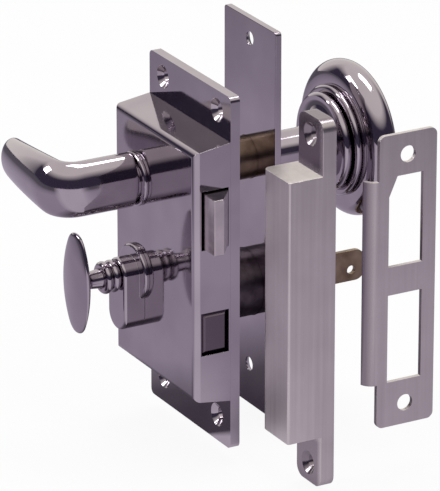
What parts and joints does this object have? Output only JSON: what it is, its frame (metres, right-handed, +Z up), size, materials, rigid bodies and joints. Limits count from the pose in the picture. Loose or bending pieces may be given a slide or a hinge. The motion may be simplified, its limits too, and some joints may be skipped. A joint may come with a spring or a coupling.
{
  "type": "rim lock",
  "caption": "Surface-mounted rim lock set: case with lever handle, thumb-turn, spring latch and deadbolt, outside plate with knob and key cylinder, box keeper and lipped strike plate.",
  "frame": {"origin": "centre of the four mounting screw holes of the case, on the face that lies on the door", "axes": "+X towards the forend and the keeper, +Y through the door to the outside, +Z up"},
  "size_m": [0.1641, 0.1596, 0.18],
  "materials": {
    "polished_chrome": "polished chrome plate",
    "satin_nickel": "satin nickel plate",
    "plated_brass": "plated brass, lightly worn",
    "brass": "machined brass",
    "steel": "bright steel",
    "dark_steel": "dark oxidised steel"
  },
  "bodies": {
    "root": {"case_shell": "polished_chrome", "back_plate": "polished_chrome", "case_screws": "steel", "guide_posts": "steel", "lever_collar": "polished_chrome", "turn_collar": "polished_chrome", "bolt_spring": "steel", "outer_plate": "polished_chrome", "knob_bush": "brass", "cylinder_body": "dark_steel", "cylinder_ring": "polished_chrome", "cylinder_nut": "brass", "box_keeper": "satin_nickel", "strike_plate": "satin_nickel", "hub_spring": "steel", "latch_spring": "steel"},
    "handle": {"lever_handle": "polished_chrome", "lever_grub_screw": "steel", "spindle": "steel", "hub_follower": "brass", "door_knob": "polished_chrome", "knob_grub_screw": "steel"},
    "latch": {"latch_bolt": "plated_brass"},
    "deadbolt": {"deadbolt": "plated_brass"},
    "turn": {"turn_knob": "polished_chrome", "turn_shaft": "polished_chrome", "turn_crank": "steel"},
    "key_plug": {"cylinder_plug": "brass", "tailpiece": "steel", "cylinder_cam": "steel", "key": "brass"}
  },
  "joints": [
    {"name": "handle_turn", "type": "hinge", "parent": "root", "child": "handle", "pos_m": [-0.0165, 0, 0.029], "axis": [0, -1, 0], "range_deg": [0, 40], "stiffness_Nm_per_rad": 1.2, "springref_deg": -20.05, "deforming": ["hub_spring"]},
    {"name": "latch_slide", "type": "slide", "parent": "root", "child": "latch", "axis": [-1, 0, 0], "range_m": [0, 0.01], "deforming": ["latch_spring"]},
    {"name": "thumb_turn", "type": "hinge", "parent": "root", "child": "turn", "pos_m": [-0.0165, 0, -0.014], "axis": [0, -1, 0], "range_deg": [0, 90]},
    {"name": "deadbolt_slide", "type": "slide", "parent": "root", "child": "deadbolt", "axis": [1, 0, 0], "range_m": [0, 0.012]},
    {"name": "key_turn", "type": "hinge", "parent": "root", "child": "key_plug", "pos_m": [-0.0165, 0, -0.0295], "axis": [0, 1, 0], "range_deg": [0, 90]}
  ],
  "couplings": [
    {"joint": "latch_slide", "follows": "handle_turn", "m_per_rad": 0.014323},
    {"joint": "thumb_turn", "follows": "deadbolt_slide", "rad_per_m": 130.9},
    {"joint": "key_turn", "follows": "deadbolt_slide", "rad_per_m": 130.9}
  ]
}
